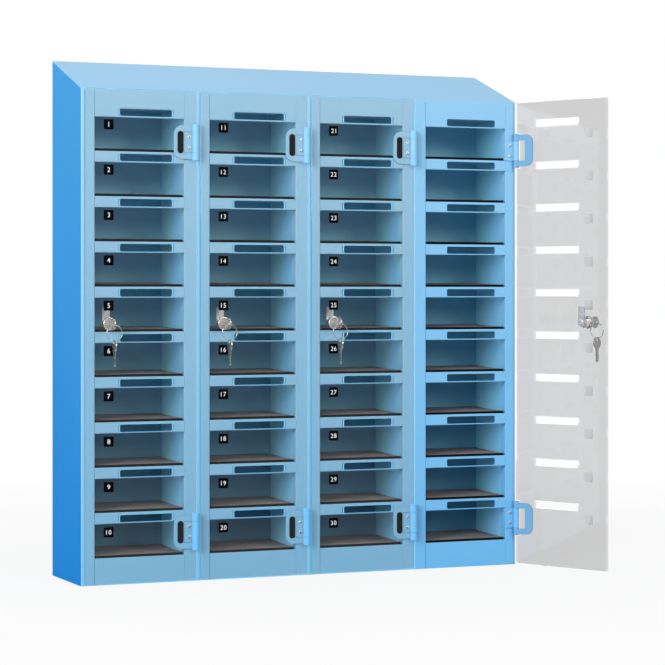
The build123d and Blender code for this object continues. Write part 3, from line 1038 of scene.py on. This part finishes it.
@dataclass
class Cabinet:
    """The steelwork, the hinge halves that it carries, and the mats in its compartments.

    Attributes:
        steel: The nodes of the sheet steel, beside the shelves and the hinge leaves.
        mat_thickness: How thick a mat is.
        mat_curl: How far its rear edge is raised.
        mat_cuts: How many strips from front to back the curl is made of.
        mat_edge: The rounding of its upper edge.
        mat_edge_segments: How many faces go round that edge.
        mat_corner: The rounding of its corners.
        mat_corner_segments: How many faces go round a corner.
    """

    steel: tuple[str, ...] = (
        "left_side_panel",
        "right_side_panel",
        "dividers",
        "sloping_top",
        "back_panel",
        "inner_back_panel",
        "base_tray",
        "header_panels",
        "plinth_panels",
    )
    mat_thickness: float = 4.6 * MM
    mat_curl: float = 3.3 * MM
    mat_cuts: int = 8
    mat_edge: float = 0.7 * MM
    mat_edge_segments: int = 3
    mat_corner: float = 1.5 * MM
    mat_corner_segments: int = 4

    def dress_steel(self) -> None:
        """Paints the panels, shelves and hinge leaves, and leaves pins and screws bright."""
        for node in self.steel:
            dress(node, COAT)
        for column in range(1, COLUMNS + 1):
            dress(f"shelves_{column}", COAT)
        dress("cabinet_hinge_leaves", COAT)
        dress("hinge_pins", PIN_STEEL)
        dress("hinge_screws", SCREW_STEEL)

    def build_mats(self, column: int) -> None:
        """Builds the ten mats of one column with softened edges and a rear edge that curls up.

        Args:
            column: The column's number, from 1.
        """
        node = f"mats_{column}"
        low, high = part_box(node)
        size = Vector((high.x - low.x, high.y - low.y, self.mat_thickness))
        shape = bmesh.new()
        for row in range(ROWS):
            level = low.z + size.z / 2 + row * ROW_PITCH
            middle = Vector(((low.x + high.x) / 2, (low.y + high.y) / 2, level))
            add_block(shape, middle, size)
        soften(shape, edges_along(shape, UP), self.mat_corner, self.mat_corner_segments)
        soften(shape, edges_round(shape, UP), self.mat_edge, self.mat_edge_segments)
        for cut in range(1, self.mat_cuts):
            bmesh.ops.bisect_plane(
                shape,
                geom=[*shape.verts, *shape.edges, *shape.faces],
                plane_no=BACKWARD,
                plane_co=(0.0, low.y + size.y * cut / self.mat_cuts, 0.0),
            )
        for vertex in shape.verts:
            vertex.co.z += self.mat_curl * ((vertex.co.y - low.y) / size.y) ** 2
        piece = finish_piece(f"foam_mats_{column}", shape, [MAT])
        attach(piece, "cabinet")
        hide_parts(node)

    def build(self) -> None:
        """Dresses and fits out the cabinet."""
        self.dress_steel()
        for column in range(1, COLUMNS + 1):
            self.build_mats(column)


@dataclass
class Door:
    """One clear door with its hinge leaves, tape pads and numbered labels.

    Attributes:
        number: The door's number, from 1.
        label_corner: The rounding of a label's corners.
        label_corner_segments: How many faces go round a corner.
        label_edge: The rounding of a label's front edge.
        label_edge_segments: How many faces go round that edge.
        numeral_height: The height of one digit alone.
        numeral_pair_height: The height of two digits side by side.
        numeral_weight: How much the strokes are thickened, in the font's units.
        numeral_spacing: The distance between digits, of the font's own.
        numeral_depth: How deep the digits are drawn, before they are squeezed to the ink.
        numeral_steps: How many straight parts a curve of a digit has.
        ink: How far the ink stands off the label.
    """

    number: int
    label_corner: float = 2.0 * MM
    label_corner_segments: int = 5
    label_edge: float = 0.15 * MM
    label_edge_segments: int = 2
    numeral_height: float = 8.4 * MM
    numeral_pair_height: float = 8.0 * MM
    numeral_weight: float = -0.003
    numeral_spacing: float = 1.12
    numeral_depth: float = 0.5
    numeral_steps: int = 4
    ink: float = 0.06 * MM

    @property
    def body(self) -> str:
        """The CAD body that this door's pieces ride on."""
        return f"door_{self.number}"

    def dress_frame(self) -> None:
        """Gives the door's CAD pieces their finishes."""
        shut = door_turn(self.number).is_identity
        dress(f"door_panel_{self.number}", SHUT_ACRYLIC if shut else OPEN_ACRYLIC)
        # A door that stands open gets the darker copy of the coat on its hinge leaves, as painted
        # shade.
        dress(f"door_hinge_leaves_{self.number}", COAT if shut else SHADED_HINGE_COAT)
        dress(f"hinge_pads_{self.number}", TAPE)
        dress(f"lock_body_{self.number}", CHROME)

    def label_centres(self) -> tuple[list[Vector], Vector]:
        """Where the labels lie with the door shut.

        Returns:
            The centres of the labels' outer faces from the top row down, and one label's size.
        """
        low, high = shut_box(self.number, f"number_labels_{self.number}")
        side = high.x - low.x
        top = Vector(((low.x + high.x) / 2, low.y, high.z - side / 2))
        centres = [top - Vector((0, 0, row * ROW_PITCH)) for row in range(ROWS)]
        return centres, Vector((side, high.y - low.y, side))

    def build_labels(self) -> None:
        """Builds the labels: black film with rounded corners and a pale adhesive back."""
        centres, size = self.label_centres()
        shape = bmesh.new()
        for centre in centres:
            add_block(shape, centre + Vector((0, size.y / 2, 0)), size)
        across = edges_along(shape, BACKWARD)
        soften(shape, across, self.label_corner, self.label_corner_segments)
        soften(shape, edges_round(shape, FORWARD), self.label_edge, self.label_edge_segments)
        for face in shape.faces:
            face.material_index = 1 if face.normal.y > ALONG else 0
        shape.transform(door_turn(self.number))
        piece = finish_piece(f"film_labels_{self.number}", shape, [LABEL_BLACK, LABEL_BACK])
        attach(piece, self.body)
        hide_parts(f"number_labels_{self.number}")

    def numeral(self, text: str, centre: Vector) -> bpy.types.Mesh:
        """Makes one number as raised ink on its label.

        Args:
            text: The digits.
            centre: The middle of the label's outer face, with the door shut.

        Returns:
            The mesh, facing -Y.
        """
        curve = bpy.data.curves.new("numeral", "FONT")
        curve.body = text
        curve.align_x = "CENTER"
        curve.align_y = "CENTER"
        curve.offset = self.numeral_weight
        curve.space_character = self.numeral_spacing
        curve.extrude = self.numeral_depth
        curve.resolution_u = self.numeral_steps
        holder = bpy.data.objects.new("numeral", curve)
        bpy.context.scene.collection.objects.link(holder)
        bpy.context.view_layer.update()
        depsgraph = bpy.context.evaluated_depsgraph_get()
        mesh = bpy.data.meshes.new_from_object(holder.evaluated_get(depsgraph))
        bpy.data.objects.remove(holder)
        bpy.data.curves.remove(curve)
        low, high = extent(vertex.co for vertex in mesh.vertices)
        height = self.numeral_height if len(text) == 1 else self.numeral_pair_height
        scale = height / (high.y - low.y)
        mesh.transform(
            Matrix.Translation(centre)
            @ Matrix.Rotation(math.pi / 2, 4, "X")
            @ Matrix.Diagonal((scale, scale, 2 * self.ink / (high.z - low.z), 1.0))
            @ Matrix.Translation(-(low + high) / 2)
        )
        return mesh

    def build_numerals(self) -> None:
        """Builds the ten numerals of this door."""
        centres, _ = self.label_centres()
        first = (self.number - 1) * ROWS + 1
        shape = bmesh.new()
        for number, centre in enumerate(centres, start=first):
            mesh = self.numeral(str(number), centre)
            shape.from_mesh(mesh)
            bpy.data.meshes.remove(mesh)
        bmesh.ops.remove_doubles(shape, verts=shape.verts[:], dist=MERGE_DISTANCE)
        shape.transform(door_turn(self.number))
        piece = finish_piece(f"numerals_{self.number}", shape, [INK_WHITE])
        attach(piece, self.body)

    def build(self) -> None:
        """Dresses the door and adds its labels."""
        self.dress_frame()
        self.build_labels()
        self.build_numerals()


@dataclass
class KeySet:
    """The turning part of one lock with its key, split ring and spare key.

    Attributes:
        number: The lock's number, from 1.
        wire: The radius of the ring's wire.
        wire_sides: How many sides the wire has.
        turns: How often the wire goes round.
        steps_per_turn: How many straight parts one turn has.
    """

    number: int
    wire: float = 0.62 * MM
    wire_sides: int = 10
    turns: int = 2
    steps_per_turn: int = 48

    def dress_lock(self) -> None:
        """Gives the plug, cam and keys their finishes."""
        dress(f"lock_plug_{self.number}", CHROME)
        dress(f"lock_cam_{self.number}", ZINC)
        dress(f"key_{self.number}", KEY_NICKEL)
        dress(f"spare_key_{self.number}", KEY_NICKEL)

    def build_ring(self) -> None:
        """Winds the split ring: turns of wire side by side, as thick as the plain ring."""
        node = f"key_ring_{self.number}"
        low, high = shut_box(self.number, node)
        middle = (low + high) / 2
        reach = (high.x - low.x) / 2 - self.wire
        lead = high.y - low.y - 2 * self.wire
        steps = self.steps_per_turn * self.turns
        shape = bmesh.new()
        made = bmesh.ops.create_circle(
            shape,
            cap_ends=False,
            segments=self.wire_sides,
            radius=self.wire,
            matrix=Matrix.Translation(middle + Vector((reach, -lead / 2, 0))),
        )
        bmesh.ops.spin(
            shape,
            geom=made["verts"] + shape.edges[:],
            cent=middle - Vector((0, lead / 2, 0)),
            axis=BACKWARD,
            dvec=(0, lead / steps, 0),
            angle=2 * math.pi * self.turns,
            steps=steps,
            use_merge=False,
        )
        ends = [edge for edge in shape.edges if len(edge.link_faces) == 1]
        bmesh.ops.holes_fill(shape, edges=ends, sides=self.wire_sides)
        bmesh.ops.recalc_face_normals(shape, faces=shape.faces[:])
        for face in shape.faces:
            face.smooth = len(face.verts) == 4
        shape.transform(door_turn(self.number))
        piece = finish_piece(f"split_ring_{self.number}", shape, [RING_STEEL])
        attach(piece, f"ring_{self.number}")
        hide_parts(node)

    def build(self) -> None:
        """Dresses the lock's turning parts and winds the ring."""
        self.dress_lock()
        self.build_ring()


# ------------------------------------------------------------------ studio


@dataclass(frozen=True)
class Lamp:
    """A square soft lamp that faces the cabinet's middle.

    Attributes:
        name: The lamp's name.
        place: Where it stands, in metres.
        size: The side of its panel, in metres.
        power: Its power, in watts.
        target: What it faces.
    """

    name: str
    place: Point
    size: float
    power: float
    target: Point = (0.0, 0.0, 0.5)

    def build(self) -> None:
        """Adds the lamp to the scene."""
        light = bpy.data.lights.new(self.name, "AREA")
        light.shape = "SQUARE"
        light.size = self.size
        light.energy = self.power
        lamp = bpy.data.objects.new(self.name, light)
        bpy.context.scene.collection.objects.link(lamp)
        lamp.location = self.place
        aim = Vector(self.target) - Vector(self.place)
        lamp.rotation_euler = aim.to_track_quat("-Z", "Y").to_euler()


@dataclass
class Studio:
    """A pale floor, a white surround, soft lamps and the camera.

    Attributes:
        floor_radius: The floor's reach.
        floor_sides: How many sides its rim has.
        floor_colour: The floor's colour under the lamps.
        floor_shadow: The share of the object's shadow that shows near the middle.
        floor_span: Where that share begins to fade, and is gone.
        floor_dull: How much darker the floor is in a mirror.
        mirrored_depth: The glossy depth beyond which a ray has been mirrored.
        camera_place: Where the camera stands, in metres.
        camera_yaw: How far it is turned towards the right.
        camera_reach: The farthest that it sees.
        lens: Its focal length, in millimetres.
        sensor: Its sensor's width, in millimetres.
        shift_down: How far its picture is shifted down.
        light_base: The surround's even light on matt surfaces.
        light_above: What is added to it from above.
        light_front: What is added to it from the front.
        light_front_power: How narrow the front light is.
        light_behind: What is added to it from behind.
        light_behind_power: How narrow that is.
        front_way: The front light's direction.
        gleam_front: What the front adds to white in reflections, which below zero darkens them.
        gleam_power: How narrow that is.
        flag_depth: How dark the dark panel at the back left is in reflections.
        flag_way: The dark panel's direction.
        flag_span: The cosines to that direction at which the panel begins, and is fully dark.
        lamps: The soft lamps.
    """

    floor_radius: float = 3.2
    floor_sides: int = 96
    floor_colour: Colour = (0.72, 0.72, 0.72)
    floor_shadow: float = 0.16
    floor_span: Span = (0.6, 2.4)
    floor_dull: float = 0.75
    mirrored_depth: float = 0.5
    camera_place: Point = (-1.6652, -4.0724, 0.5201)
    camera_yaw: float = math.radians(23.29)
    camera_reach: float = 200.0
    lens: float = 127.53
    sensor: float = 36.0
    shift_down: float = 0.0623
    light_base: float = 0.35
    light_above: float = 0.30
    light_front: float = 0.15
    light_front_power: float = 4.0
    light_behind: float = 0.55
    light_behind_power: float = 2.0
    front_way: Direction = (0.395, -0.918, 0.0)
    gleam_front: float = -0.80
    gleam_power: float = 2.0
    flag_depth: float = 0.97
    flag_way: Direction = (-0.746, 0.666, 0.0)
    flag_span: Span = (0.55, 0.85)
    lamps: tuple[Lamp, ...] = (
        Lamp("left_lamp", (-5.6, -3.4, 2.5), size=3.4, power=405.0),
        Lamp("right_lamp", (1.9, -4.6, 2.6), size=1.8, power=74.0),
    )

    def floor_white(self) -> bpy.types.Material:
        """Makes the floor's material: white to the eye, with a share of what a matt floor shows.

        Returns:
            The material.
        """
        material = bpy.data.materials.new("floor_white")
        material.use_nodes = True
        nodes = Nodes(material.node_tree)
        matt = nodes.add("BsdfDiffuse")
        nodes.fill(matt, Color=self.floor_colour)
        path = nodes.add("LightPath")
        mirrored = nodes.maths("GREATER_THAN", path.outputs["Glossy Depth"], self.mirrored_depth)
        dull = nodes.maths("MULTIPLY", mirrored, self.floor_dull)
        white = nodes.add("Emission")
        nodes.fill(white, Strength=nodes.maths("SUBTRACT", 1.0, dull))
        reach = nodes.add("VectorMath", operation="LENGTH")
        nodes.feed(reach.inputs[0], nodes.add("TexCoord").outputs["Object"])
        near = nodes.ramp(reach.outputs["Value"], self.floor_span, low=1.0 - self.floor_shadow)
        share = nodes.maths("MULTIPLY", nodes.seen(path), near)
        shown = nodes.mix_shaders(share, matt.outputs["BSDF"], white.outputs["Emission"])
        nodes.fill(nodes.add("OutputMaterial"), Surface=shown)
        return material

    def build_floor(self) -> None:
        """Lays the floor, which shows white and keeps a share of the object's shadow."""
        shape = bmesh.new()
        bmesh.ops.create_circle(
            shape, cap_ends=True, segments=self.floor_sides, radius=self.floor_radius
        )
        mesh = bpy.data.meshes.new("floor")
        shape.to_mesh(mesh)
        shape.free()
        mesh.materials.append(self.floor_white())
        floor = bpy.data.objects.new("floor", mesh)
        bpy.context.scene.collection.objects.link(floor)
        floor.visible_glossy = False

    @staticmethod
    def lobe(nodes: Nodes, way: Direction) -> Socket:
        """How nearly a ray of the world runs along one direction.

        Args:
            nodes: The world's writer.
            way: The direction.

        Returns:
            The cosine to that direction, not below zero.
        """
        ray = nodes.add("TexCoord").outputs["Generated"]
        return nodes.maths("MAXIMUM", nodes.dot(ray, way), 0.0)

    def gleam(self, nodes: Nodes, front: Socket) -> Socket:
        """What reflections see beside plain white.

        Args:
            nodes: The world's writer.
            front: How nearly a ray comes from the front.

        Returns:
            The amount to add to white, for the panel in front and the dark one at the back left.
        """
        panel = nodes.maths("POWER", front, self.gleam_power)
        panel = nodes.maths("MULTIPLY", panel, self.gleam_front)
        flag = nodes.ramp(self.lobe(nodes, self.flag_way), self.flag_span, smooth=True)
        return nodes.maths("SUBTRACT", panel, nodes.maths("MULTIPLY", flag, self.flag_depth))

    def matt_light(self, nodes: Nodes, front: Socket) -> Socket:
        """The soft light on matt surfaces, from above, in front and behind.

        Args:
            nodes: The world's writer.
            front: How nearly a ray comes from the front.

        Returns:
            The light's strength.
        """
        ahead = nodes.maths("POWER", front, self.light_front_power)
        above = self.lobe(nodes, UP)
        behind = nodes.maths("POWER", self.lobe(nodes, BACKWARD), self.light_behind_power)
        light = nodes.maths("MULTIPLY", ahead, self.light_front)
        light = nodes.maths("ADD", light, nodes.maths("MULTIPLY", above, self.light_above))
        light = nodes.maths("ADD", light, nodes.maths("MULTIPLY", behind, self.light_behind))
        return nodes.maths("ADD", light, self.light_base)

    def build_sky(self) -> None:
        """Sets the world: white to the camera and in glass, with its own light on matt surfaces."""
        world = bpy.data.worlds.new("studio")
        bpy.context.scene.world = world
        world.use_nodes = True
        nodes = Nodes(world.node_tree)
        front = self.lobe(nodes, self.front_way)
        path = nodes.add("LightPath")
        gleam = nodes.maths("MULTIPLY", path.outputs["Is Glossy Ray"], self.gleam(nodes, front))
        seen = nodes.seen(path)
        shown = nodes.maths("MULTIPLY", nodes.maths("ADD", gleam, 1.0), seen)
        unseen = nodes.maths("SUBTRACT", 1.0, seen)
        light = nodes.maths("MULTIPLY", self.matt_light(nodes, front), unseen)
        background = nodes.add("Background")
        nodes.fill(background, Color=(1.0, 1.0, 1.0), Strength=nodes.maths("ADD", shown, light))
        nodes.fill(nodes.add("OutputWorld"), Surface=background.outputs["Background"])

    def build_camera(self) -> None:
        """Sets the camera, level and turned towards the right."""
        data = bpy.data.cameras.new("camera")
        data.lens = self.lens
        data.sensor_width = self.sensor
        data.sensor_fit = "HORIZONTAL"
        data.shift_y = -self.shift_down
        data.clip_end = self.camera_reach
        camera = bpy.data.objects.new("camera", data)
        bpy.context.scene.collection.objects.link(camera)
        camera.location = self.camera_place
        camera.rotation_euler = (math.pi / 2, 0.0, -self.camera_yaw)
        bpy.context.scene.camera = camera

    def build(self) -> None:
        """Sets up the floor, the light and the camera."""
        bpy.context.scene.view_settings.view_transform = "Standard"
        self.build_floor()
        self.build_sky()
        for lamp in self.lamps:
            lamp.build()
        self.build_camera()


def main() -> None:
    """Builds every sub-assembly in order and reports on it."""
    logging.basicConfig(level=logging.INFO, format="%(name)s: %(message)s")
    Studio().build()
    Cabinet().build()
    for number in range(1, COLUMNS + 1):
        Door(number).build()
        KeySet(number).build()


if __name__ == "__main__":
    main()
